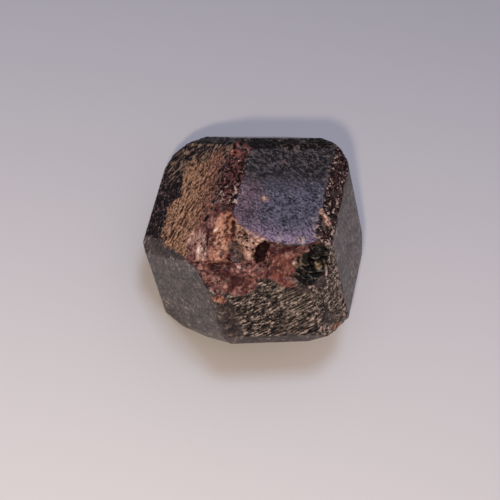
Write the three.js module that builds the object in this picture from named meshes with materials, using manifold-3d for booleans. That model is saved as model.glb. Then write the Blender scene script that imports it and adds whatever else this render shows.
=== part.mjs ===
// A loose garnet crystal that lies on one of its own faces: twelve rhomb faces, narrow bevel faces
// along their edges, one corner broken off and a few edges chipped.
// Millimetres, +Z up. The crystal is cut around its own middle and then set down on its base.
import * as THREE from 'three';
import { mergeVertices } from 'three/addons/utils/BufferGeometryUtils.js';
import Module from 'manifold-3d';

const wasm = await Module();
wasm.setup();

// How far the two kinds of face grew from the middle of the crystal
const RHOMB_REACH = 16.0;
const BEVEL_REACH = 17.8;

// The block that the crystal is cut from, and each cutter, are larger than the crystal
const BLOCK = 80;

// Faces that grew more or less than the others of their kind, by crystal index
const RHOMB_GROWTH = {
  '1,0,1': -0.8,      // top
  '-1,0,-1': -3.5,    // base
  '0,1,1': -2.0,      // rough left face
  '0,-1,1': -0.2,     // striped front face
  '-1,0,1': -0.2,     // smooth front left face
  '1,-1,0': 0.5,      // smooth right face
  '1,1,0': 1.4,
  '-1,1,0': 0.8,
  '-1,-1,0': 0.6,
  '1,0,-1': 0.2,
  '0,1,-1': 0.2,
  '0,-1,-1': 0.8,
};
const BEVEL_GROWTH = {
  '2,1,1': 0.2,       // behind the top
  '2,-1,1': -0.4,     // right of the top
  '1,1,2': -1.8,      // left of the top
  '1,-2,1': -0.9,     // right of the striped face
  '-1,-2,1': -0.1,    // below the striped face
  '1,2,1': -0.2,
  '1,2,-1': -0.2,
  '-1,2,1': -0.2,
  '2,1,-1': 1.3,
  '2,-1,-1': 0.9,
  '1,-2,-1': 1.4,
  '-1,-2,-1': -0.6,
  '-1,-1,-2': -1.4,
  '-1,1,-2': -1.2,
  '-2,1,-1': -1.4,
  '-2,-1,-1': -3.1,
};

// Flat breaks across the lost corner: which way each one faces and how far it is from the middle
const CORNER_BREAKS = [
  { facing: [-0.47, -0.44, 0.76], reach: 16.1 },
  { facing: [-0.50, 0.50, 0.71], reach: 15.5 },
  { facing: [-0.40, -0.59, 0.71], reach: 16.05 },
];

// Shell-shaped bites: a point on the surface, which way the bite faces, its width and its depth
const BITES = [
  { at: [-10.3, -0.8, 14.3], facing: [-0.35, 0.0, 0.94], width: 8.0, depth: 1.6 },     // step under the top
  { at: [-6.5, -5.2, 14.1], facing: [-0.2, -0.3, 0.93], width: 2.4, depth: 1.3 },      // dark pit
  { at: [-9.8, -3.1, 13.3], facing: [-0.4, -0.3, 0.87], width: 3.6, depth: 0.9 },      // grey hollow
  { at: [-13.0, -3.4, 11.2], facing: [-0.6, -0.5, 0.62], width: 5.4, depth: 0.5 },     // smooth dark shelf
  { at: [-12.5, 3.5, 10.6], facing: [-0.45, 0.6, 0.66], width: 5.6, depth: 0.7 },      // in the rough face
  { at: [-4.6, -9.2, 12.7], facing: [-0.35, -0.6, 0.72], width: 6.0, depth: 0.6 },     // smooth red hollow
  { at: [-0.6, -12.3, 11.9], facing: [-0.19, -0.58, 0.79], width: 7.8, depth: 1.7 },   // glassy bite
  { at: [-11.6, -7.2, 9.9], facing: [-0.5, -0.6, 0.62], width: 7.0, depth: 0.6 },      // lower rim of the break
  { at: [-14.9, -6.3, 7.9], facing: [-0.65, -0.65, 0.4], width: 2.6, depth: 0.5 },     // chip on the edge
  { at: [1.9, -20.8, 0.1], facing: [0.1, -0.97, 0.2], width: 4.4, depth: 0.6 },        // front right corner
  { at: [0.5, 21.1, -1.2], facing: [0.1, 0.97, 0.15], width: 3.4, depth: 0.35 },       // left corner
  { at: [15.7, 2.6, 15.1], facing: [0.4, -0.2, 0.87], width: 3.0, depth: 0.4 },        // along the right edge
  { at: [12.8, -2.3, 15.1], facing: [0.29, -0.41, 0.87], width: 2.6, depth: 0.3 },
  { at: [9.4, -4.7, 15.1], facing: [0.29, -0.41, 0.87], width: 3.2, depth: 0.4 },
  { at: [4.6, -8.2, 15.0], facing: [0.29, -0.41, 0.87], width: 3.4, depth: 0.5 },
];
const BITE_FINENESS = 9;
const RIPPLE = 0.02;

// The crystal lies on its base, so its own axes are turned this way: row is across, back and up
const ACROSS = new THREE.Vector3(1, 0, -1).normalize();
const BACK = new THREE.Vector3(0, 1, 0);
const UP = new THREE.Vector3(1, 0, 1).normalize();

// Keeps only the corners of a geometry, each one once
function onlyCorners(geometry) {
  geometry.deleteAttribute('normal');
  geometry.deleteAttribute('uv');
  return mergeVertices(geometry);
}

// Makes a closed geometry solid, so that it can be cut
function toSolid(geometry) {
  const corners = onlyCorners(geometry);
  return new wasm.Manifold(new wasm.Mesh({
    numProp: 3,
    vertProperties: new Float32Array(corners.attributes.position.array),
    triVerts: new Uint32Array(corners.index.array),
  }));
}

// Turns a cut solid back into a geometry with flat faces
function toGeometry(solid) {
  const mesh = solid.getMesh();
  const shared = new THREE.BufferGeometry();
  const points = new Float32Array(mesh.numVert * 3);
  for (let i = 0; i < mesh.numVert; i += 1) {
    for (let axis = 0; axis < 3; axis += 1) {
      points[3 * i + axis] = mesh.vertProperties[mesh.numProp * i + axis];
    }
  }
  shared.setAttribute('position', new THREE.BufferAttribute(points, 3));
  shared.setIndex(new THREE.BufferAttribute(new Uint32Array(mesh.triVerts), 1));
  return shared;
}

// Direction of a crystal index, in the frame that the crystal lies in
function faceDirection([h, k, l]) {
  const index = new THREE.Vector3(h, k, l);
  return new THREE.Vector3(index.dot(ACROSS), index.dot(BACK), index.dot(UP)).normalize();
}

// Every index with the same three digits in any order and with any signs
function sameForm(digits) {
  const found = new Map();
  for (const a of [0, 1, 2]) {
    for (const b of [0, 1, 2]) {
      for (const signs of [0, 1, 2, 3, 4, 5, 6, 7]) {
        if (a === b) continue;
        const order = [digits[a], digits[b], digits[3 - a - b]];
        const index = order.map((digit, i) => (digit === 0 ? 0 : digit * (signs & (1 << i) ? -1 : 1)));
        found.set(index.join(','), index);
      }
    }
  }
  return found;
}

// A block with one flat side, at a distance from the middle, that takes away everything beyond it
function beyond(direction, reach) {
  const cutter = new THREE.BoxGeometry(BLOCK, BLOCK, BLOCK);
  cutter.translate(0, 0, reach + BLOCK / 2);
  const turn = new THREE.Quaternion().setFromUnitVectors(new THREE.Vector3(0, 0, 1), direction);
  cutter.applyQuaternion(turn);
  return toSolid(cutter);
}

// A ball with low ripples, which leaves a shallow shell-shaped bite of the wanted width and depth
function bite({ at, facing, width, depth }) {
  const radius = (width * width / 4 + depth * depth) / (2 * depth);
  const centre = new THREE.Vector3(...facing).normalize().multiplyScalar(radius - depth);
  centre.add(new THREE.Vector3(...at));
  const ball = onlyCorners(new THREE.IcosahedronGeometry(1, BITE_FINENESS));
  const corners = ball.attributes.position;
  const point = new THREE.Vector3();
  for (let i = 0; i < corners.count; i += 1) {
    point.fromBufferAttribute(corners, i);
    const waves = Math.sin(9 * point.x + 4 * point.y)
      + Math.sin(7 * point.y - 6 * point.z)
      + Math.sin(11 * point.z + 5 * point.x);
    point.multiplyScalar(radius * (1 + RIPPLE * waves / 3));
    corners.setXYZ(i, point.x, point.y, point.z);
  }
  ball.translate(centre.x, centre.y, centre.z);
  return toSolid(ball);
}

function growCrystal() {
  let crystal = toSolid(new THREE.BoxGeometry(BLOCK, BLOCK, BLOCK));
  for (const [name, index] of sameForm([1, 1, 0])) {
    crystal = crystal.subtract(beyond(faceDirection(index), RHOMB_REACH + (RHOMB_GROWTH[name] ?? 0)));
  }
  for (const [name, index] of sameForm([2, 1, 1])) {
    crystal = crystal.subtract(beyond(faceDirection(index), BEVEL_REACH + (BEVEL_GROWTH[name] ?? 0)));
  }
  return crystal;
}

function breakCorner(crystal) {
  let broken = crystal;
  for (const { facing, reach } of CORNER_BREAKS) {
    broken = broken.subtract(beyond(new THREE.Vector3(...facing).normalize(), reach));
  }
  for (const shell of BITES) {
    broken = broken.subtract(bite(shell));
  }
  return broken;
}

// The middle of the base's outline is the origin, and the base is at height zero
const crystalGeometry = toGeometry(breakCorner(growCrystal()));
crystalGeometry.computeBoundingBox();
const box = crystalGeometry.boundingBox;
const middle = box.getCenter(new THREE.Vector3());

const garnet = new THREE.Mesh(
  crystalGeometry,
  new THREE.MeshStandardMaterial({ color: '#3b2a2b', roughness: 0.45, metalness: 0.0 }),
);
garnet.name = 'garnet_crystal';
garnet.position.set(-middle.x, -middle.y, -box.min.z);

const group = new THREE.Group();
group.add(garnet);

export default group;
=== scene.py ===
import math

import bmesh
import bpy
import numpy as np
from mathutils import Matrix, Vector


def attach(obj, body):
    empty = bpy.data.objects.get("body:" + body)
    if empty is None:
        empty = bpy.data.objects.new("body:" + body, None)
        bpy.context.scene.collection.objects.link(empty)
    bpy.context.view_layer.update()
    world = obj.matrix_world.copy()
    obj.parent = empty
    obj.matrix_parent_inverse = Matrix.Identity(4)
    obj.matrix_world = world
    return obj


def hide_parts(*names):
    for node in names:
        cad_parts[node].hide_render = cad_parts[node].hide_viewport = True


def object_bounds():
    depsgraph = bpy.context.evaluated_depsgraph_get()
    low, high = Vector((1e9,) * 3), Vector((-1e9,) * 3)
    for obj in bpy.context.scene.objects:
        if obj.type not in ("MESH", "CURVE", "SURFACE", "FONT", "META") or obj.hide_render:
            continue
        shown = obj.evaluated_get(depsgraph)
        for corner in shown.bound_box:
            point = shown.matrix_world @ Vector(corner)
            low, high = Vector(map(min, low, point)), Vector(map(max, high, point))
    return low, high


# A loose garnet crystal on a pale table. The crystal's own measures are millimetres from its middle, until
# its mesh is written. The table, the lights and the camera are in metres.
MM = 0.001

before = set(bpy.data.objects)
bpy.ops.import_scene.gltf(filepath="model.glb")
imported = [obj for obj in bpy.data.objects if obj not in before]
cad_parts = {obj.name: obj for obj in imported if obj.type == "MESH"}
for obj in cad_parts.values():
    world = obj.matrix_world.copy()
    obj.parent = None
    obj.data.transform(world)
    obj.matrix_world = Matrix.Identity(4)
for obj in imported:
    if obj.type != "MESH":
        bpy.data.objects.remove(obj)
cad_low, cad_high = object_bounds()

# ---------------------------------------------------------------- the crystal's own frame

# Where the crystal's middle is, from the low corner of its box
MIDDLE_FROM_LOW = Vector((15.8, 20.88, 12.5))
MIDDLE = Vector(cad_low) / MM + MIDDLE_FROM_LOW

SQRT_HALF = math.sqrt(0.5)
ACROSS = np.array((SQRT_HALF, 0.0, -SQRT_HALF))
BACK = np.array((0.0, 1.0, 0.0))
UP = np.array((SQRT_HALF, 0.0, SQRT_HALF))


def face_direction(index):
    """Outward direction of a crystal face, in the frame that the crystal lies in."""
    h = np.array(index, float)
    turned = np.array((h @ ACROSS, h @ BACK, h @ UP))
    return turned / np.linalg.norm(turned)


def same_form(digits):
    """Every face index with the same three digits in any order and with any signs."""
    found = set()
    for a in range(3):
        for b in range(3):
            if a == b:
                continue
            order = (digits[a], digits[b], digits[3 - a - b])
            for signs in range(8):
                found.add(tuple(d * (-1 if signs >> i & 1 else 1) for i, d in enumerate(order)))
    return sorted(found)


RHOMBS = same_form((1, 1, 0))
BEVELS = same_form((2, 1, 1))
FACES = RHOMBS + BEVELS
DIRECTIONS = np.array([face_direction(index) for index in FACES])

TOP = (1, 0, 1)
ROUGH_LEFT = (0, 1, 1)
STRIPED = (0, -1, 1)
FRONT_LEFT = (-1, 0, 1)
STRIPED_BEVEL = (1, -2, 1)
FOOT = (-1, -2, 1)

# The narrow faces that are rough and granular, with how maroon and how flecked each one is. The bevel of the
# striped face carries its stripes too, and the other narrow faces are smooth.
BANDS = {
    (1, 1, 2): (1.0, 0.50),
    (2, 1, 1): (0.0, 0.00),
    (1, 2, 1): (0.0, 0.00),
    (2, -1, 1): (0.30, 0.74),
    (1, 2, -1): (0.2, 0.40),
    (2, 1, -1): (0.5, 0.60),
    (-1, 1, -2): (0.2, 0.50),
}

# Directions along the edge between the rough face and the top face, along the pits of the crust, along the
# stripes, along the folds of the break, and along the faint grain of the top
LONG_WAY = np.array((-0.8165, -0.5774, 0.0))
CRUST_LINE = np.array((0.847, 0.279, 0.453))
STRIPE_LINE = np.array((0.843, -0.265, 0.469))
FOLD_LINE = np.array((0.788, 0.499, 0.384))
TOP_LINE = np.array((0.352, -0.936, 0.0))

# Level directions across the top face: towards its far edge, and towards its right end
FAR_WAY = np.array((0.675, 0.737, 0.0))
RIGHT_WAY = np.array((0.737, -0.675, 0.0))

# The break: the middle and the reach of its rough part and of its glassy one, and the point that the glassy
# part's arcs run round, with how fast they follow each other in radians per millimetre
CORNER = np.array((-9.0, -3.5, 13.0))
CORNER_REACH = 14.0
GLASSY_SPOT = np.array((0.1, -12.6, 11.0))
GLASSY_REACH = 4.3
STRIKE_POINT = np.array((1.6, -10.4, 13.6))
ARC_PACE = 2.8

# Patches painted in a colour of their own, some of them painted shadow, painted shade or painted glints as
# said below: start, end and half width of each, in millimetres from the crystal's middle
PATCHES = {
    "orange": (
        ((-8.0, 1.7, 14.5), (-12.1, -0.9, 12.5), 1.55),
        ((-15.5, -5.6, 7.3), (-14.3, -6.8, 7.4), 0.50),
        ((0.9, -20.4, 0.3), (1.8, -20.2, -0.9), 0.75),
    ),
    "rust": (
        ((-7.9, 3.2, 14.1), (-7.1, 2.3, 15.0), 0.55),
        ((1.4, 10.8, 14.0), (1.8, 9.3, 14.7), 0.55),
    ),
    "pale": (
        ((-7.4, 0.2, 14.6), (-5.6, -3.9, 15.2), 0.34),
        ((-11.8, 3.2, 11.0), (-13.9, 0.4, 11.9), 1.05),
        ((-11.5, 4.4, 9.6), (-13.1, 3.8, 9.2), 0.45),
        ((-7.7, -1.5, 14.3), (-6.4, -3.9, 14.5), 1.15),
        ((-8.2, -2.9, 13.5), (-8.1, -4.6, 13.3), 0.95),
        ((-0.8, 1.5, 15.2), (-0.6, 0.7, 15.2), 0.28),
        ((6.5, 4.2, 15.2), (6.5, 3.6, 15.2), 0.08),
        ((5.3, -6.2, 15.2), (5.3, -8.3, 14.3), 0.40),
    ),
    "salmon": (
        ((-5.0, -8.1, 12.7), (-3.5, -9.7, 12.1), 1.10),
        ((-6.4, -9.1, 11.5), (-5.5, -11.2, 10.3), 0.80),
        ((-4.9, -11.6, 10.3), (-4.5, -12.2, 9.9), 0.40),
    ),
    # The deep patches are dark maroon, partly painted shade: a shadow line below a shelf, the shelf and the
    # dark top of a facet
    "deep": (
        ((-5.3, -6.3, 14.2), (-2.4, -8.2, 14.6), 0.75),
        ((-13.2, -2.6, 10.8), (-11.9, -5.6, 9.9), 1.30),
        ((-13.7, -1.7, 11.3), (-11.3, -4.1, 11.7), 0.55),
        ((-3.8, 4.4, 15.1), (-4.0, 2.7, 15.2), 0.60),
    ),
    "grey": (((-9.2, -1.9, 13.1), (-9.9, -3.8, 12.3), 0.85),),
    # The black patches are painted shadow in a pit, cracks, a slit and the glassy part's hollows
    "black": (
        ((-5.9, -4.7, 13.3), (-7.0, -5.5, 13.1), 1.15),
        ((-11.4, 2.0, 12.4), (-13.7, -0.6, 12.3), 0.22),
        ((-7.4, 0.9, 14.8), (-8.5, -0.6, 13.6), 0.24),
        ((0.0, -9.8, 12.3), (0.0, -11.8, 10.3), 0.45),
        ((1.9, -11.6, 11.4), (1.8, -13.8, 9.8), 0.40),
        ((-0.6, -12.6, 9.8), (1.3, -13.8, 9.8), 0.40),
    ),
    # The glint patches are painted glints of light
    "glint": (
        ((0.7, -11.8, 10.7), (0.8, -12.5, 10.4), 0.40),
        ((-2.9, -9.7, 12.2), (-2.3, -10.4, 11.4), 0.30),
        ((2.0, -12.3, 11.0), (1.3, -13.9, 9.6), 0.16),
        ((-10.6, -4.7, 11.8), (-10.4, -5.0, 11.8), 0.08),
        ((-10.1, 1.9, 13.4), (-9.7, 1.9, 13.8), 0.12),
        ((-13.3, 1.5, 11.4), (-13.8, 0.9, 11.4), 0.20),
        ((3.6, -6.1, 15.2), (3.7, -6.0, 15.2), 0.14),
    ),
    "plain": (
        ((-3.3, -13.3, 9.5), (0.2, -14.2, 9.2), 0.95),
        ((-14.8, -7.1, 6.7), (-14.1, -11.0, 2.0), 1.40),
        ((-1.1, -18.4, 3.2), (0.4, -19.4, 1.9), 0.80),
    ),
}

# Where the break is dotted with small black pits, painted as shadow: start, end and half width
DOTTED = ((-7.6, -1.8, 14.3), (-7.0, -3.9, 14.3), 1.5)

# The dark lens in the glassy bite: start and end, and the half widths of its rim and of itself
LENS = ((-0.9, -9.4, 13.6), (-0.9, -10.4, 11.6))
LENS_HALF_WIDTHS = (0.95, 0.72)

# Lumps and dents in the break: start, end, half width and rise
LUMPS = (
    ((-8.0, 1.7, 14.5), (-12.1, -0.9, 12.5), 1.6, 0.35),
    ((-11.3, 2.9, 11.3), (-14.3, 0.2, 11.7), 0.7, 0.25),
    ((-11.4, 2.0, 12.4), (-13.7, -0.6, 12.3), 0.3, -0.45),
    ((-7.4, 0.9, 14.8), (-8.5, -0.6, 13.6), 0.3, -0.50),
    ((-9.1, -1.7, 13.2), (-9.9, -3.8, 12.3), 1.1, -0.35),
    ((-5.7, -4.8, 13.2), (-7.2, -5.6, 13.1), 0.9, -0.60),
    ((-13.7, -1.7, 11.3), (-11.3, -4.1, 11.7), 0.45, -0.45),
    ((-0.9, -9.2, 13.9), (-0.9, -10.4, 11.3), 0.9, 0.30),
    ((0.0, -9.8, 12.3), (0.0, -11.8, 10.3), 0.4, -0.45),
    ((1.9, -11.6, 11.4), (1.8, -13.8, 9.8), 0.4, -0.35),
    ((0.9, -20.4, 0.3), (1.8, -20.2, -0.9), 1.2, 0.35),
)

# How high the relief of each kind of surface stands, and how deep its wear goes
CRUST_RISE = 0.10
CRUST_PIT_DEPTH = 0.10
BARE_GRAIN_HEIGHT = 0.07
RIDGE_HEIGHT = 0.05
BAND_GRAIN_HEIGHT = 0.10
TOP_DIMPLE_DEPTH = 0.02
NICK_DEPTH = 0.12
EDGE_WEAR_DEPTH = 0.05

# How far under its plane a face or a band has faded out, and from where on it is full
ON_FACE = (0.22, 0.06)
ON_BAND = (0.24, 0.06)

# How far under every face the break starts, and from where on it is full
TORN_DEPTHS = (0.10, 0.22)

# Where the plain strip beside the front-left face ends, and where the striped face's ridges become straight
PLAIN_STRIP = (2.7, 1.9)
RIDGES_FORWARD = (-9.5, -4.0)

# Where the far side of the top, painted in shade, begins, and where its near rim with a painted sheen does
FAR_SIDE = (1.0, 6.0)
NEAR_RIM = (-2.6, -7.0)

# ---------------------------------------------------------------- steady random patterns


def ramp(low, high, value):
    """0 below low, 1 above high, smooth between them."""
    t = np.clip((value - low) / (high - low), 0.0, 1.0)
    return t * t * (3.0 - 2.0 * t)


def steady_random(cells, seed):
    """One steady number from 0 to 1 for every whole-number cell."""
    x, y, z = (cells[..., i].astype(np.uint64) for i in range(3))
    mixed = x * np.uint64(73856093) ^ y * np.uint64(19349663) ^ z * np.uint64(83492791)
    mixed = mixed ^ np.uint64(seed * 2654435761 % 2**32)
    mixed = (mixed ^ (mixed >> np.uint64(13))) * np.uint64(1274126177)
    mixed = mixed ^ (mixed >> np.uint64(16))
    return (mixed & np.uint64(0xFFFFFF)).astype(float) / 0xFFFFFF


def waves(points, size, seed):
    """Smooth noise from -1 to 1 whose lumps are about size wide."""
    scaled = points / size
    cell = np.floor(scaled).astype(np.int64)
    part = scaled - cell
    fade = part * part * (3.0 - 2.0 * part)
    total = np.zeros(len(points))
    for corner in range(8):
        step = np.array((corner & 1, corner >> 1 & 1, corner >> 2 & 1))
        weight = np.where(step, fade, 1.0 - fade)
        total += weight[:, 0] * weight[:, 1] * weight[:, 2] * steady_random(cell + step, seed)
    return 2.0 * total - 1.0


def rough(points, size, seed):
    """Three sizes of noise together, each half as large and half as strong as the last."""
    total = np.zeros(len(points))
    for layer in range(3):
        total += waves(points, size / 2**layer, seed + 17 * layer) / 2**layer
    return total / (1.0 + 0.5 + 0.25)


# Farther than any chip's middle, in chips
FAR_AWAY = 9.0


def chips(points, size, seed):
    """Breaks space into chips: distance to the chip's middle, the chip's own random number and its tilt."""
    scaled = points / size
    cell = np.floor(scaled).astype(np.int64)
    nearest = np.full(len(points), FAR_AWAY)
    chip_number = np.zeros(len(points))
    tilt = np.zeros(len(points))
    for corner in range(27):
        step = np.array((corner % 3, corner // 3 % 3, corner // 9)) - 1
        here = cell + step
        jitter = np.stack([steady_random(here, seed + i) for i in range(3)], axis=1)
        away = scaled - (here + jitter)
        distance = np.linalg.norm(away, axis=1)
        lean = np.stack([steady_random(here, seed + 5 + i) for i in range(3)], axis=1) - 0.5
        closer = distance < nearest
        chip_number = np.where(closer, steady_random(here, seed + 9), chip_number)
        tilt = np.where(closer, np.sum(away * lean, axis=1), tilt)
        nearest = np.where(closer, distance, nearest)
    return nearest * size, chip_number, tilt * size


def drawn_out(points, line, stretch):
    """Squeezes space along a line, so that a pattern made in it comes out drawn along that line."""
    along = points @ line
    return points + np.outer(along * (1.0 / stretch - 1.0), line)


def from_line(points, start, end):
    """Distance from every point to the straight line between two places."""
    along = np.subtract(end, start)
    share = np.clip((points - start) @ along / (along @ along), 0.0, 1.0)
    return np.linalg.norm(points - start - share[:, None] * along, axis=1)


def patch(points, ragged, start, end, half_width, soft=0.12):
    """A patch along a line, 1 inside and 0 outside, with a border moved in and out by the ragged pattern."""
    distance = from_line(points, start, end) + 0.6 * half_width * ragged
    return ramp(half_width + soft, half_width - soft, distance)


# ---------------------------------------------------------------- the crystal's mesh

# The cell of the even mesh in metres, and how many triangles are kept in the end
CELL = 0.00014
TRIANGLES = 190_000


def dense_copy(node):
    """A copy of the plain solid with its corners joined and an even, fine mesh."""
    piece = bpy.data.objects.new("garnet", node.data.copy())
    bpy.context.scene.collection.objects.link(piece)
    shell = bmesh.new()
    shell.from_mesh(piece.data)
    bmesh.ops.remove_doubles(shell, verts=shell.verts, dist=1e-6)
    shell.to_mesh(piece.data)
    shell.free()
    remesh = piece.modifiers.new("even mesh", "REMESH")
    remesh.mode = "VOXEL"
    remesh.voxel_size = CELL
    remesh.use_smooth_shade = True
    keep_modifiers(piece)
    return piece


def keep_modifiers(piece):
    """Makes the modifiers' result the piece's own mesh."""
    graph = bpy.context.evaluated_depsgraph_get()
    finished = bpy.data.meshes.new_from_object(piece.evaluated_get(graph))
    piece.modifiers.clear()
    piece.data = finished


def read_points(mesh):
    flat = np.zeros(len(mesh.vertices) * 3, np.float32)
    mesh.vertices.foreach_get("co", flat)
    return flat.reshape(-1, 3).astype(float) / MM - np.array(MIDDLE)


def write_points(mesh, points):
    mesh.vertices.foreach_set("co", ((points + np.array(MIDDLE)) * MM).astype(np.float32).ravel())
    mesh.update()


def read_normals(mesh):
    flat = np.zeros(len(mesh.vertices) * 3, np.float32)
    mesh.vertex_normals.foreach_get("vector", flat)
    return flat.reshape(-1, 3).astype(float)


def write_mask(mesh, name, values):
    layer = mesh.attributes.get(name) or mesh.attributes.new(name, "FLOAT", "POINT")
    layer.data.foreach_set("value", np.clip(values, 0.0, 1.0).astype(np.float32))


def zones(points, reaches):
    """Where each kind of surface is, as numbers from 0 to 1 for every point."""
    gaps = reaches[None, :] - points @ DIRECTIONS.T
    ordered = np.sort(gaps, axis=1)
    under_all = ordered[:, 0]
    edge_gap = ordered[:, 1]

    def on(index):
        return ramp(*ON_FACE, gaps[:, FACES.index(index)])

    from_corner = np.linalg.norm(points - CORNER, axis=1)
    from_glassy = np.linalg.norm(points - GLASSY_SPOT, axis=1)
    torn = ramp(*TORN_DEPTHS, under_all)
    glassy = torn * ramp(GLASSY_REACH + 0.3, GLASSY_REACH - 0.3, from_glassy)
    broken = torn * ramp(CORNER_REACH, CORNER_REACH - 1.0, from_corner) * (1.0 - glassy)
    whole = (1.0 - broken) * (1.0 - glassy)
    ragged = 0.30 * rough(points, 1.3, 19)
    band = np.zeros(len(points))
    maroon = np.zeros(len(points))
    flecked = np.zeros(len(points))
    for index, (how_maroon, how_flecked) in BANDS.items():
        here = ramp(*ON_BAND, gaps[:, FACES.index(index)] + ragged)
        band = np.maximum(band, here)
        maroon = np.maximum(maroon, here * how_maroon)
        flecked = np.maximum(flecked, here * how_flecked)
    return {
        "top": on(TOP) * whole,
        "left": on(ROUGH_LEFT) * whole,
        "striped": np.maximum(on(STRIPED), on(STRIPED_BEVEL)) * whole,
        "bevel": on(STRIPED_BEVEL) * whole,
        "band": band * whole,
        "maroon": maroon,
        "flecked": flecked,
        "from_front": gaps[:, FACES.index(FRONT_LEFT)],
        "broken": broken,
        "glassy": glassy,
        "torn": torn,
        "foot": on(FOOT) * whole,
        "edge_gap": edge_gap,
    }


# The brown crust on the rough face: its lower border, as places along the face and heights up the face, its
# upper border and its far end
CRUST_PLACES = (-13.0, -10.5, -7.6, -1.8, -1.4, -1.0, 2.1, 4.9, 7.2, 8.9, 12.4)
CRUST_HEIGHTS = (-3.2, -5.9, -5.0, -3.0, -5.0, -6.6, -5.7, -5.9, -4.4, -1.3, 4.8)
CRUST_TOP = 6.4
CRUST_END = -7.9


def height_up_left(points):
    """How far up the rough face every point is, square to its edge with the top face."""
    return points @ np.cross(face_direction(ROUGH_LEFT), LONG_WAY)


def crust_cover(points, left):
    """Where the brown crust lies on the rough face: a ragged border, crumbling away towards the top face."""
    along = points @ LONG_WAY
    height = height_up_left(points)
    ragged = 0.7 * rough(points, 1.6, 31)
    crumbs = rough(points, 0.45, 33)
    above = height - np.interp(along, CRUST_PLACES, CRUST_HEIGHTS) + ragged + crumbs
    below = CRUST_TOP - height + ragged + 3.2 * crumbs
    far = along - CRUST_END + ragged + 3.6 * crumbs
    return ramp(-0.15, 0.25, above) * ramp(-0.3, 0.3, below) * ramp(-0.3, 0.3, far) * left


def break_relief(points, zone):
    """Height and pattern of the break: chips and grains, and shell-shaped arcs where it is glassy."""
    _, coarse_number, coarse_tilt = chips(points, 2.6, 41)
    _, small_number, small_tilt = chips(points, 0.95, 51)
    lumps = rough(points, 1.1, 55)
    grains = rough(points, 0.42, 57)
    coarse_height = 0.26 * (coarse_number - 0.5) + 0.26 * coarse_tilt
    small_height = 0.12 * (small_number - 0.5) + 0.26 * small_tilt
    from_strike = np.linalg.norm(points - STRIKE_POINT, axis=1)
    wander = 1.5 * rough(points, 2.2, 61)
    arc = 1.0 - 2.0 * np.abs(np.sin(from_strike * ARC_PACE + wander))
    glassy_height = 0.16 * arc + 0.34 * coarse_tilt + 0.20 * small_tilt + 0.04 * grains
    granular_height = coarse_height + small_height + 0.16 * lumps + 0.11 * grains
    pattern = lumps + 1.1 * grains + 0.5 * (small_number - 0.5)
    pattern = zone["broken"] * pattern + zone["glassy"] * (0.7 * arc + 0.5 * grains)
    height = zone["broken"] * granular_height + zone["glassy"] * glassy_height
    return height, np.clip(pattern, -1.0, 1.0)


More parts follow.
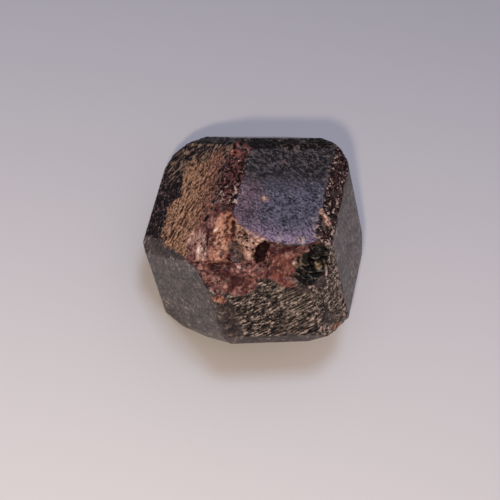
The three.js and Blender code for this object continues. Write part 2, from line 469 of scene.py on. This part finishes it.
def carve(piece, reaches):
    """Gives every zone its own relief and keeps the zones as masks for the material."""
    mesh = piece.data
    points = read_points(mesh)
    normals = read_normals(mesh)
    zone = zones(points, reaches)
    crust = crust_cover(points, zone["left"])
    ragged = rough(points, 0.9, 71)
    spots = {kind: np.zeros(len(points)) for kind in PATCHES}
    for kind, lines in PATCHES.items():
        for start, end, half_width in lines:
            soft = 0.15 + 0.2 * half_width
            spots[kind] = np.maximum(spots[kind], patch(points, ragged, start, end, half_width, soft))

    # Faces: drawn-out pits in the crust, grains on the bare rough face and the bands, ridges on the stripes
    bare = zone["left"] * (1.0 - crust)
    spots["plain"] = np.maximum(spots["plain"], bare * ramp(*PLAIN_STRIP, zone["from_front"] + 0.8 * ragged))
    bare *= 1.0 - spots["plain"]
    stripes = zone["striped"] * (1.0 - spots["plain"])
    pits = 1.5 * rough(drawn_out(points, CRUST_LINE, 2.2), 0.46, 7)
    grains = 1.5 * rough(points, 0.50, 11)
    folds = rough(drawn_out(points, STRIPE_LINE, 6.0), 0.50, 9)
    ridges = 1.0 - 3.0 * np.abs(folds)
    webbed = 1.4 * rough(drawn_out(points, STRIPE_LINE, 1.8), 0.50, 21)
    forward = ramp(*RIDGES_FORWARD, points[:, 0] + 1.5 * rough(points, 3.0, 23))
    ridges = forward * ridges + (1.0 - forward) * webbed
    pattern = crust * pits + bare * grains + stripes * ridges + zone["band"] * grains
    height = crust * (CRUST_RISE + CRUST_PIT_DEPTH * pits) + bare * BARE_GRAIN_HEIGHT * grains
    height += stripes * RIDGE_HEIGHT * ridges
    height += zone["band"] * BAND_GRAIN_HEIGHT * grains
    height -= zone["top"] * TOP_DIMPLE_DEPTH * ramp(0.2, 0.8, waves(points, 0.6, 5))

    # Edges: worn everywhere, with nicks round the bands, the top and the striped bevel, fewer far back
    deeper = points @ FAR_WAY + 2.0 * rough(points, 3.0, 91)
    far_side = ramp(*FAR_SIDE, deeper)
    nick = ramp(0.75, 0.15, zone["edge_gap"]) * (1.0 - zone["torn"])
    nick *= np.maximum.reduce((zone["band"], zone["top"], zone["bevel"])) * (1.0 - 0.75 * far_side)
    by_edge = nick > 0.0
    _, chip_number, _ = chips(points[by_edge], 0.80, 81)
    chance = chip_number + 0.17 * zone["bevel"][by_edge]
    nick[by_edge] *= ramp(0.62, 0.70, chance)
    edge_wear = EDGE_WEAR_DEPTH * ramp(0.25, 0.0, zone["edge_gap"]) * (1.0 - zone["torn"])
    height -= NICK_DEPTH * nick + edge_wear

    # The break
    torn = zone["torn"] > 0.0
    inner = points[torn]
    inner_height, inner_pattern = break_relief(inner, {k: zone[k][torn] for k in ("broken", "glassy")})
    for start, end, half_width, rise in LUMPS:
        inner_height += rise * patch(inner, ragged[torn], start, end, half_width, 0.25 + 0.2 * half_width)
    height[torn] += inner_height
    pattern[torn] += inner_pattern

    write_points(mesh, points + normals * height[:, None])

    # Masks that the material reads
    masks = {name: zone[name] for name in ("top", "band", "maroon", "flecked", "broken", "glassy")}
    masks["left"] = bare
    masks["strands"] = ramp(-5.0, -8.0, points @ LONG_WAY + ragged)
    masks["redder"] = ramp(0.5, 5.5, height_up_left(points) + 1.2 * rough(points, 2.0, 37))
    masks.update(spots)
    masks["plain"] = np.maximum(spots["plain"], zone["foot"])
    # Small pits in the dotted part are painted black, as shadow
    to_dot, _, _ = chips(inner, 0.80, 87)
    dots = ramp(0.30, 0.20, to_dot)
    masks["black"][torn] = np.maximum(masks["black"][torn], dots * patch(inner, ragged[torn], *DOTTED))
    masks["web"] = stripes * (1.0 - forward)
    with_rim, lens = (patch(points, ragged, *LENS, half_width, 0.06) for half_width in LENS_HALF_WIDTHS)
    masks["lens"] = lens
    masks["rim"] = with_rim - lens
    masks["striped"] = stripes
    masks["crust"] = crust
    masks["nick"] = nick
    # The relief also sets where painted shade falls in hollows and painted highlights on crests
    masks["relief"] = 0.5 + 0.5 * np.clip(pattern, -1.0, 1.0)
    sideways = points @ RIGHT_WAY + 2.0 * rough(points, 2.5, 93)
    # The top's far side, painted in shade, and its near rim, painted with a sheen
    masks["shade"] = far_side
    masks["painted_sheen"] = ramp(*NEAR_RIM, deeper)
    masks["pinkish"] = np.maximum(ramp(0.0, -4.0, sideways), ramp(-5.0, -7.5, deeper))
    for name, values in masks.items():
        write_mask(mesh, name, values)


def lighten(piece):
    """Takes away triangles where the surface is nearly flat."""
    triangles = sum(len(face.vertices) - 2 for face in piece.data.polygons)
    if triangles > TRIANGLES:
        thin = piece.modifiers.new("fewer triangles", "DECIMATE")
        thin.ratio = TRIANGLES / triangles
        keep_modifiers(piece)


# ---------------------------------------------------------------- material


def put(tree, socket, value):
    """Sets a socket, or wires another node's output into it."""
    if isinstance(value, bpy.types.NodeSocket):
        tree.links.new(value, socket)
    elif value is not None:
        socket.default_value = value


def calculate(tree, operation, first, second=None, third=None):
    """The result of one sum on numbers or other nodes' outputs."""
    node = tree.nodes.new("ShaderNodeMath")
    node.operation = operation
    for socket, value in zip(node.inputs, (first, second, third)):
        put(tree, socket, value)
    return node.outputs[0]


def blend(tree, amount, under, over):
    """Colour over on top of colour under, as much as amount says."""
    node = tree.nodes.new("ShaderNodeMix")
    node.data_type = "RGBA"
    put(tree, node.inputs["Factor"], amount)
    put(tree, node.inputs[6], under if isinstance(under, bpy.types.NodeSocket) else (*under, 1.0))
    put(tree, node.inputs[7], over if isinstance(over, bpy.types.NodeSocket) else (*over, 1.0))
    return node.outputs[2]


def between(tree, amount, low, high):
    """A number that goes from low to high as amount goes from 0 to 1."""
    node = tree.nodes.new("ShaderNodeMix")
    put(tree, node.inputs["Factor"], amount)
    put(tree, node.inputs[2], low)
    put(tree, node.inputs[3], high)
    return node.outputs[0]


def stepped(tree, value, low, high):
    """0 below low, 1 above high, smooth between them."""
    node = tree.nodes.new("ShaderNodeMapRange")
    node.interpolation_type = "SMOOTHSTEP"
    for name, number in (("Value", value), ("From Min", low), ("From Max", high)):
        put(tree, node.inputs[name], number)
    return node.outputs[0]


def grain(tree, place, per_mm, detail=3.0, roughness=0.6):
    """Noise from 0 to 1, finer the more of it there is to a millimetre."""
    node = tree.nodes.new("ShaderNodeTexNoise")
    put(tree, node.inputs["Vector"], place)
    node.inputs["Scale"].default_value = per_mm
    node.inputs["Detail"].default_value = detail
    node.inputs["Roughness"].default_value = roughness
    return node.outputs["Fac"]


def mask(tree, name):
    """A mask that was written on the mesh."""
    node = tree.nodes.new("ShaderNodeAttribute")
    node.attribute_name = name
    return node.outputs["Fac"]


def stretched(tree, place, line, stretch):
    """The place squeezed along a line, so that a pattern comes out drawn along it."""
    dot = tree.nodes.new("ShaderNodeVectorMath")
    dot.operation = "DOT_PRODUCT"
    put(tree, dot.inputs[0], place)
    dot.inputs[1].default_value = tuple(line)
    scale = tree.nodes.new("ShaderNodeVectorMath")
    scale.operation = "SCALE"
    scale.inputs[0].default_value = tuple(line)
    put(tree, scale.inputs["Scale"], calculate(tree, "MULTIPLY", dot.outputs["Value"], 1.0 / stretch - 1.0))
    add = tree.nodes.new("ShaderNodeVectorMath")
    add.operation = "ADD"
    put(tree, add.inputs[0], place)
    put(tree, add.inputs[1], scale.outputs[0])
    return add.outputs[0]


def millimetres(tree):
    """Object coordinates in millimetres."""
    coordinates = tree.nodes.new("ShaderNodeTexCoord")
    scale = tree.nodes.new("ShaderNodeVectorMath")
    scale.operation = "SCALE"
    put(tree, scale.inputs[0], coordinates.outputs["Object"])
    scale.inputs["Scale"].default_value = 1.0 / MM
    return scale.outputs[0]


def times(tree, *values):
    """All the values multiplied together."""
    product = values[0]
    for value in values[1:]:
        product = calculate(tree, "MULTIPLY", product, value)
    return product


def top_paint(tree, place):
    """Violet-grey grain, pinker at the left end, with a painted sheen at the near edge and painted shade far
    back.
    """
    sand = grain(tree, stretched(tree, place, TOP_LINE, 1.6), 3.1, 3.0, 0.85)
    cloud = grain(tree, stretched(tree, place, TOP_LINE, 1.6), 0.8, 3.0)
    tone = stepped(tree, calculate(tree, "MULTIPLY_ADD", cloud, 0.35, sand), 0.56, 0.78)
    # The bluish cast is partly painted reflection of the cool light
    bluish = blend(tree, tone, (0.008, 0.009, 0.015), (0.115, 0.112, 0.165))
    pinker = blend(tree, tone, (0.018, 0.011, 0.017), (0.160, 0.108, 0.145))
    near = blend(tree, mask(tree, "pinkish"), bluish, pinker)
    # Painted sheen: a lighter colour at the near edge, where the top reflects the light
    rim = blend(tree, tone, (0.040, 0.026, 0.046), (0.30, 0.225, 0.335))
    near = blend(tree, mask(tree, "painted_sheen"), near, rim)
    # Painted shade: the far side of the top dark and mottled
    mottle = stepped(tree, grain(tree, stretched(tree, place, TOP_LINE, 1.6), 1.8, 3.0, 0.8), 0.45, 0.66)
    far = blend(tree, mottle, (0.002, 0.002, 0.002), (0.090, 0.076, 0.086))
    colour = blend(tree, mask(tree, "shade"), near, far)
    return blend(tree, stepped(tree, sand, 0.62, 0.68), colour, (0.25, 0.215, 0.255))


def crust_paint(tree, place):
    """Brown crust, redder towards the top face, with painted shade dark in its pits."""
    flow = grain(tree, stretched(tree, place, CRUST_LINE, 2.6), 3.1, 3.0, 0.75)
    patches = grain(tree, place, 0.8, 2.0)
    speck = grain(tree, place, 2.6, 3.0, 0.75)
    high = blend(tree, stepped(tree, speck, 0.38, 0.62), (0.10, 0.045, 0.026), (0.60, 0.36, 0.225))
    redder = blend(tree, stepped(tree, speck, 0.38, 0.62), (0.045, 0.016, 0.013), (0.40, 0.205, 0.15))
    high = blend(tree, mask(tree, "redder"), high, redder)
    low = blend(tree, stepped(tree, speck, 0.40, 0.60), (0.004, 0.002, 0.002), (0.085, 0.036, 0.027))
    # Painted shade: dark colour in the sunk parts of the relief and in the noise pits
    colour = blend(tree, stepped(tree, mask(tree, "relief"), 0.44, 0.16), high, low)
    level = calculate(tree, "MULTIPLY_ADD", patches, 0.3, flow)
    return blend(tree, stepped(tree, level, 0.61, 0.54), colour, low)


def left_paint(tree, place, fine):
    """The bare rough face: black and maroon, with pale strands at its far end."""
    flow = grain(tree, stretched(tree, place, STRIPE_LINE, 5.0), 1.8, 2.0, 0.6)
    bits = grain(tree, place, 1.8, 3.0, 0.75)
    colour = blend(tree, stepped(tree, fine, 0.46, 0.66), (0.001, 0.000, 0.000), (0.066, 0.040, 0.048))
    colour = blend(tree, stepped(tree, bits, 0.58, 0.67), colour, (0.30, 0.20, 0.165))
    strands = times(tree, mask(tree, "strands"), stepped(tree, flow, 0.52, 0.62))
    return blend(tree, strands, colour, (0.27, 0.19, 0.13))


def striped_paint(tree, place, fine):
    """Dark face with fine pale worn ridges, shorter and crumbled at one end."""
    drawn = stretched(tree, place, STRIPE_LINE, 14.0)
    crumbs = grain(tree, stretched(tree, place, STRIPE_LINE, 3.0), 2.6, 3.0, 0.75)
    patches = grain(tree, place, 0.55, 3.0)
    crest = calculate(tree, "ABSOLUTE", calculate(tree, "SUBTRACT", grain(tree, drawn, 1.7, 1.0), 0.5))
    finer = stepped(tree, grain(tree, drawn, 3.6, 2.0, 0.7), 0.50, 0.62)
    crest = stepped(tree, crest, 0.060, 0.010)
    lines = calculate(tree, "MAXIMUM", crest, calculate(tree, "MULTIPLY", finer, 0.6))
    lines = times(tree, lines, stepped(tree, crumbs, 0.34, 0.52))
    crumbled = stepped(tree, crumbs, 0.50, 0.60)
    pale_part = blend(tree, mask(tree, "web"), lines, crumbled)
    pale_part = times(tree, pale_part, stepped(tree, patches, 0.30, 0.48))
    low = blend(tree, stepped(tree, fine, 0.44, 0.62), (0.002, 0.002, 0.002), (0.060, 0.044, 0.038))
    pale = blend(tree, stepped(tree, fine, 0.40, 0.64), (0.13, 0.098, 0.080), (0.62, 0.51, 0.43))
    return blend(tree, pale_part, low, pale)


def band_paint(tree, place, fine):
    """Nearly black granular bands with maroon gaps and pale bits."""
    bits = grain(tree, place, 1.6, 3.0, 0.75)
    low = blend(tree, stepped(tree, fine, 0.45, 0.65), (0.001, 0.001, 0.001), (0.012, 0.010, 0.012))
    red = blend(tree, stepped(tree, fine, 0.42, 0.62), (0.003, 0.001, 0.001), (0.130, 0.048, 0.047))
    colour = blend(tree, mask(tree, "maroon"), low, red)
    level = calculate(tree, "MULTIPLY_ADD", mask(tree, "flecked"), 0.20, bits)
    return blend(tree, stepped(tree, level, 0.72, 0.79), colour, (0.48, 0.36, 0.31))


def broken_paint(tree, place, fine):
    """Maroon inside of the crystal: grains, painted shade in the gaps, painted highlights on raised grains
    and bright painted glints, with patches of their own colour.
    """
    relief = mask(tree, "relief")
    bits = grain(tree, place, 2.4, 2.0, 0.7)
    patches = grain(tree, place, 0.7, 2.0)
    folds = grain(tree, stretched(tree, place, FOLD_LINE, 4.0), 1.5, 2.0, 0.6)
    tone = stepped(tree, fine, 0.34, 0.64)
    folded = stepped(tree, calculate(tree, "MULTIPLY_ADD", fine, 0.9, folds), 0.80, 1.10)
    light = blend(tree, stepped(tree, patches, 0.36, 0.62), (0.14, 0.048, 0.046), (0.38, 0.180, 0.155))
    colour = blend(tree, tone, (0.026, 0.007, 0.007), light)
    tawny = blend(tree, stepped(tree, patches, 0.40, 0.60), (0.36, 0.150, 0.095), (0.57, 0.305, 0.215))
    for name, low, high, pattern in (
        # The deep colour is partly painted shade
        ("deep", (0.018, 0.004, 0.005), (0.085, 0.026, 0.027), tone),
        ("salmon", (0.085, 0.024, 0.020), (0.25, 0.090, 0.066), folded),
        ("rust", (0.035, 0.008, 0.007), (0.24, 0.085, 0.066), tone),
        ("orange", (0.055, 0.016, 0.010), tawny, folded),
        ("pale", (0.12, 0.044, 0.034), (0.68, 0.45, 0.36), tone),
        ("grey", (0.026, 0.012, 0.011), (0.135, 0.083, 0.076), tone),
    ):
        colour = blend(tree, mask(tree, name), colour, blend(tree, pattern, low, high))
    smoother = calculate(tree, "MAXIMUM", mask(tree, "salmon"), mask(tree, "orange"))
    smoother = calculate(tree, "MAXIMUM", smoother, mask(tree, "deep"))
    plainer = calculate(tree, "MULTIPLY_ADD", smoother, -0.75, 1.0)
    # Painted highlight on raised grains and painted shade in sunk gaps, less where the break is smoother
    painted_highlight = times(tree, plainer, 0.6, stepped(tree, relief, 0.66, 0.95))
    colour = blend(tree, painted_highlight, colour, (0.50, 0.29, 0.23))
    painted_sunk_shade = times(tree, plainer, stepped(tree, relief, 0.34, 0.10))
    colour = blend(tree, painted_sunk_shade, colour, (0.012, 0.003, 0.003))
    # The bright bits are painted glints
    return blend(tree, stepped(tree, bits, 0.69, 0.75), colour, (0.80, 0.62, 0.54))


def glassy_paint(tree, place, fine):
    """Glassy black and brown, with painted highlights as broken pale rims along the crests of the arcs."""
    patchy = stepped(tree, grain(tree, place, 1.6, 3.0), 0.42, 0.54)
    painted_crest_highlights = times(tree, patchy, stepped(tree, mask(tree, "relief"), 0.66, 0.92))
    colour = blend(tree, stepped(tree, fine, 0.50, 0.66), (0.001, 0.001, 0.001), (0.042, 0.030, 0.020))
    colour = blend(tree, painted_crest_highlights, colour, (0.22, 0.185, 0.165))
    colour = blend(tree, mask(tree, "lens"), colour, (0.014, 0.014, 0.010))
    return blend(tree, mask(tree, "rim"), colour, (0.20, 0.145, 0.115))


# How much clear skin lies over each kind of surface and how rough the stone under it is, the last on top
FINISHES = (
    ("left", 0.03, 0.62),
    ("striped", 0.08, 0.52),
    ("band", 0.03, 0.42),
    ("crust", 0.00, 0.85),
    ("broken", 0.12, 0.48),
    ("glassy", 0.18, 0.30),
    ("black", 0.04, 0.50),
)
TOP_GLOSS = 0.15
PLAIN_GLOSS = 0.30

STONE_IOR = 1.16
SKIN_IOR = 1.75
SKIN_ROUGHNESS = 0.28
BUMP_DEPTH = 0.025


def garnet_material():
    """The crystal's material: each kind of surface painted where its mask lies, under a clear skin."""
    material = bpy.data.materials.new("garnet")
    material.use_nodes = True
    tree = material.node_tree
    tree.nodes.clear()
    place = millimetres(tree)
    fine = grain(tree, place, 1.8, 3.0, 0.7)
    broad = grain(tree, place, 0.6, 4.0)
    scuff = grain(tree, stretched(tree, place, FOLD_LINE, 5.0), 1.7, 3.0, 0.7)

    # Smooth dark faces with faint scuffs
    colour = blend(tree, stepped(tree, broad, 0.38, 0.62), (0.006, 0.003, 0.003), (0.056, 0.036, 0.029))
    colour = blend(tree, stepped(tree, fine, 0.46, 0.70), colour, (0.12, 0.088, 0.078))
    scuffed = times(tree, stepped(tree, scuff, 0.54, 0.63), stepped(tree, broad, 0.50, 0.60))
    colour = blend(tree, scuffed, colour, (0.38, 0.32, 0.30))
    colour = blend(tree, mask(tree, "left"), colour, left_paint(tree, place, fine))
    colour = blend(tree, mask(tree, "top"), colour, top_paint(tree, place))
    colour = blend(tree, mask(tree, "striped"), colour, striped_paint(tree, place, fine))
    colour = blend(tree, mask(tree, "band"), colour, band_paint(tree, place, fine))
    colour = blend(tree, mask(tree, "crust"), colour, crust_paint(tree, place))
    worn = times(tree, mask(tree, "nick"), stepped(tree, fine, 0.48, 0.58))
    colour = blend(tree, worn, colour, (0.44, 0.33, 0.29))
    colour = blend(tree, mask(tree, "glassy"), colour, glassy_paint(tree, place, fine))
    inside = mask(tree, "broken")
    for name in ("orange", "rust", "pale", "salmon"):
        inside = calculate(tree, "MAXIMUM", inside, mask(tree, name))
    colour = blend(tree, inside, colour, broken_paint(tree, place, fine))
    # Painted shadow in pits, cracks and slits: near-black maroon on the break, black on the glassy part
    painted_hollow_shadow = blend(tree, mask(tree, "glassy"), (0.018, 0.005, 0.005), (0.002, 0.002, 0.002))
    colour = blend(tree, mask(tree, "black"), colour, painted_hollow_shadow)
    # Painted glints: near white on the break, olive on the glassy part
    olive = blend(tree, stepped(tree, fine, 0.38, 0.60), (0.018, 0.013, 0.005), (0.28, 0.21, 0.115))
    glint = blend(tree, mask(tree, "glassy"), (0.85, 0.72, 0.66), olive)
    colour = blend(tree, mask(tree, "glint"), colour, glint)

    # How much clear, glossy skin lies over the stone: full on smooth faces, little on rough ones
    gloss = between(tree, stepped(tree, fine, 0.36, 0.64), 0.42, 0.76)
    gloss = between(tree, mask(tree, "top"), gloss, TOP_GLOSS)
    gloss = between(tree, mask(tree, "plain"), gloss, PLAIN_GLOSS)
    roughness = between(tree, fine, 0.40, 0.55)
    for name, shine, dullness in FINISHES:
        gloss = between(tree, mask(tree, name), gloss, shine)
        roughness = between(tree, mask(tree, name), roughness, dullness)

    bump = tree.nodes.new("ShaderNodeBump")
    bump.inputs["Strength"].default_value = 1.0
    bump.inputs["Distance"].default_value = BUMP_DEPTH * MM
    put(tree, bump.inputs["Height"], fine)

    shader = tree.nodes.new("ShaderNodeBsdfPrincipled")
    shader.inputs["IOR"].default_value = STONE_IOR
    shader.inputs["Coat IOR"].default_value = SKIN_IOR
    shader.inputs["Coat Roughness"].default_value = SKIN_ROUGHNESS
    put(tree, shader.inputs["Base Color"], colour)
    put(tree, shader.inputs["Roughness"], roughness)
    put(tree, shader.inputs["Coat Weight"], gloss)
    put(tree, shader.inputs["Normal"], bump.outputs["Normal"])
    output = tree.nodes.new("ShaderNodeOutputMaterial")
    tree.links.new(shader.outputs["BSDF"], output.inputs["Surface"])
    return material


# The table's colours, the far one darker and bluer as painted fall-off of the warm lamp's light, and how far
# along the table, in millimetres, the one fades into the other
TABLE_FADE_LINE = (0.59, 0.80, 0.0)
TABLE_FADE = (-65.0, 90.0)
TABLE_NEAR = (0.675, 0.668, 0.675)
TABLE_FAR = (0.382, 0.392, 0.438)
TABLE_ROUGHNESS = 0.6


def table_material():
    """Pale matt table, with painted shade making it slowly darker and bluer towards its far side."""
    material = bpy.data.materials.new("pale table")
    material.use_nodes = True
    tree = material.node_tree
    shader = tree.nodes["Principled BSDF"]
    place = millimetres(tree)
    apart = tree.nodes.new("ShaderNodeVectorMath")
    apart.operation = "DOT_PRODUCT"
    put(tree, apart.inputs[0], place)
    apart.inputs[1].default_value = TABLE_FADE_LINE
    fade = stepped(tree, apart.outputs["Value"], *TABLE_FADE)
    put(tree, shader.inputs["Base Color"], blend(tree, fade, TABLE_NEAR, TABLE_FAR))
    shader.inputs["Roughness"].default_value = TABLE_ROUGHNESS
    return material


# ---------------------------------------------------------------- crystal

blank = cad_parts["garnet_crystal"]
garnet = dense_copy(blank)
corners = np.array([corner.co for corner in blank.data.vertices], float) / MM - np.array(MIDDLE)
carve(garnet, (corners @ DIRECTIONS.T).max(axis=0))
lighten(garnet)
garnet.data.materials.clear()
garnet.data.materials.append(garnet_material())
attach(garnet, "root")
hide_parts("garnet_crystal")

# ---------------------------------------------------------------- table, lights, camera

TABLE_SIZE = 1.6
floor_shape = bmesh.new()
bmesh.ops.create_grid(floor_shape, x_segments=1, y_segments=1, size=TABLE_SIZE / 2)
floor_mesh = bpy.data.meshes.new("table")
floor_shape.to_mesh(floor_mesh)
floor_shape.free()
table = bpy.data.objects.new("table", floor_mesh)
bpy.context.scene.collection.objects.link(table)
table.data.materials.append(table_material())


def soft_light(name, azimuth, elevation, away, width, watts, colour):
    """A square soft light that looks at the crystal from a compass angle and a height angle in degrees."""
    lamp = bpy.data.lights.new(name, "AREA")
    lamp.size = width
    lamp.energy = watts
    lamp.color = colour
    light = bpy.data.objects.new(name, lamp)
    bpy.context.scene.collection.objects.link(light)
    a = math.radians(azimuth)
    e = math.radians(elevation)
    towards = Vector((math.cos(e) * math.cos(a), math.cos(e) * math.sin(a), math.sin(e)))
    light.location = MIDDLE * MM + towards * away
    light.rotation_euler = towards.to_track_quat("Z", "Y").to_euler()


WARM = (1.0, 0.80, 0.57)
COOL = (0.58, 0.76, 1.0)
soft_light("warm lamp", azimuth=206.0, elevation=55.0, away=0.25, width=0.012, watts=0.295, colour=WARM)
soft_light("cool window", azimuth=70.0, elevation=80.0, away=0.9, width=0.22, watts=2.6, colour=COOL)

# The room's light: the way to its brighter part, how near to it the glow starts and is full, and its colours
ROOM_GLOW_LINE = (0.42, 0.18, 0.89)
ROOM_GLOW = (-0.1, 0.95)
ROOM_LOW = (0.33, 0.275, 0.275)
ROOM_HIGH = (0.46, 0.38, 0.41)


def soft_room():
    """Even pale light, cooler and brighter from high up behind the crystal."""
    world = bpy.data.worlds.new("soft room")
    world.use_nodes = True
    tree = world.node_tree
    direction = tree.nodes.new("ShaderNodeTexCoord")
    facing = tree.nodes.new("ShaderNodeVectorMath")
    facing.operation = "DOT_PRODUCT"
    put(tree, facing.inputs[0], direction.outputs["Generated"])
    facing.inputs[1].default_value = ROOM_GLOW_LINE
    glow = stepped(tree, facing.outputs["Value"], *ROOM_GLOW)
    put(tree, tree.nodes["Background"].inputs["Color"], blend(tree, glow, ROOM_LOW, ROOM_HIGH))
    return world


bpy.context.scene.world = soft_room()
bpy.context.scene.view_settings.view_transform = "Standard"

# The camera looks steeply down at the crystal from its front left, and is turned about its own line of sight
VIEW_RIGHT = Vector((0.7302, -0.6513, 0.2064))
VIEW_UP = Vector((0.5417, 0.7360, 0.4060))
VIEW_BACK = VIEW_RIGHT.cross(VIEW_UP).normalized()
CAMERA_AWAY = 0.2163
AIM_LEFT = 0.00034
AIM_DOWN = 0.0017
AIM = MIDDLE * MM - VIEW_RIGHT * AIM_LEFT - VIEW_UP * AIM_DOWN
FOCAL_LENGTH_MM = 91.65
SENSOR_WIDTH_MM = 36.0

camera_data = bpy.data.cameras.new("camera")
camera_data.lens = FOCAL_LENGTH_MM
camera_data.sensor_width = SENSOR_WIDTH_MM
camera = bpy.data.objects.new("camera", camera_data)
bpy.context.scene.collection.objects.link(camera)
turn = Matrix((VIEW_RIGHT, VIEW_UP, VIEW_BACK)).transposed().to_4x4()
camera.matrix_world = Matrix.Translation(AIM + VIEW_BACK * CAMERA_AWAY) @ turn
bpy.context.scene.camera = camera
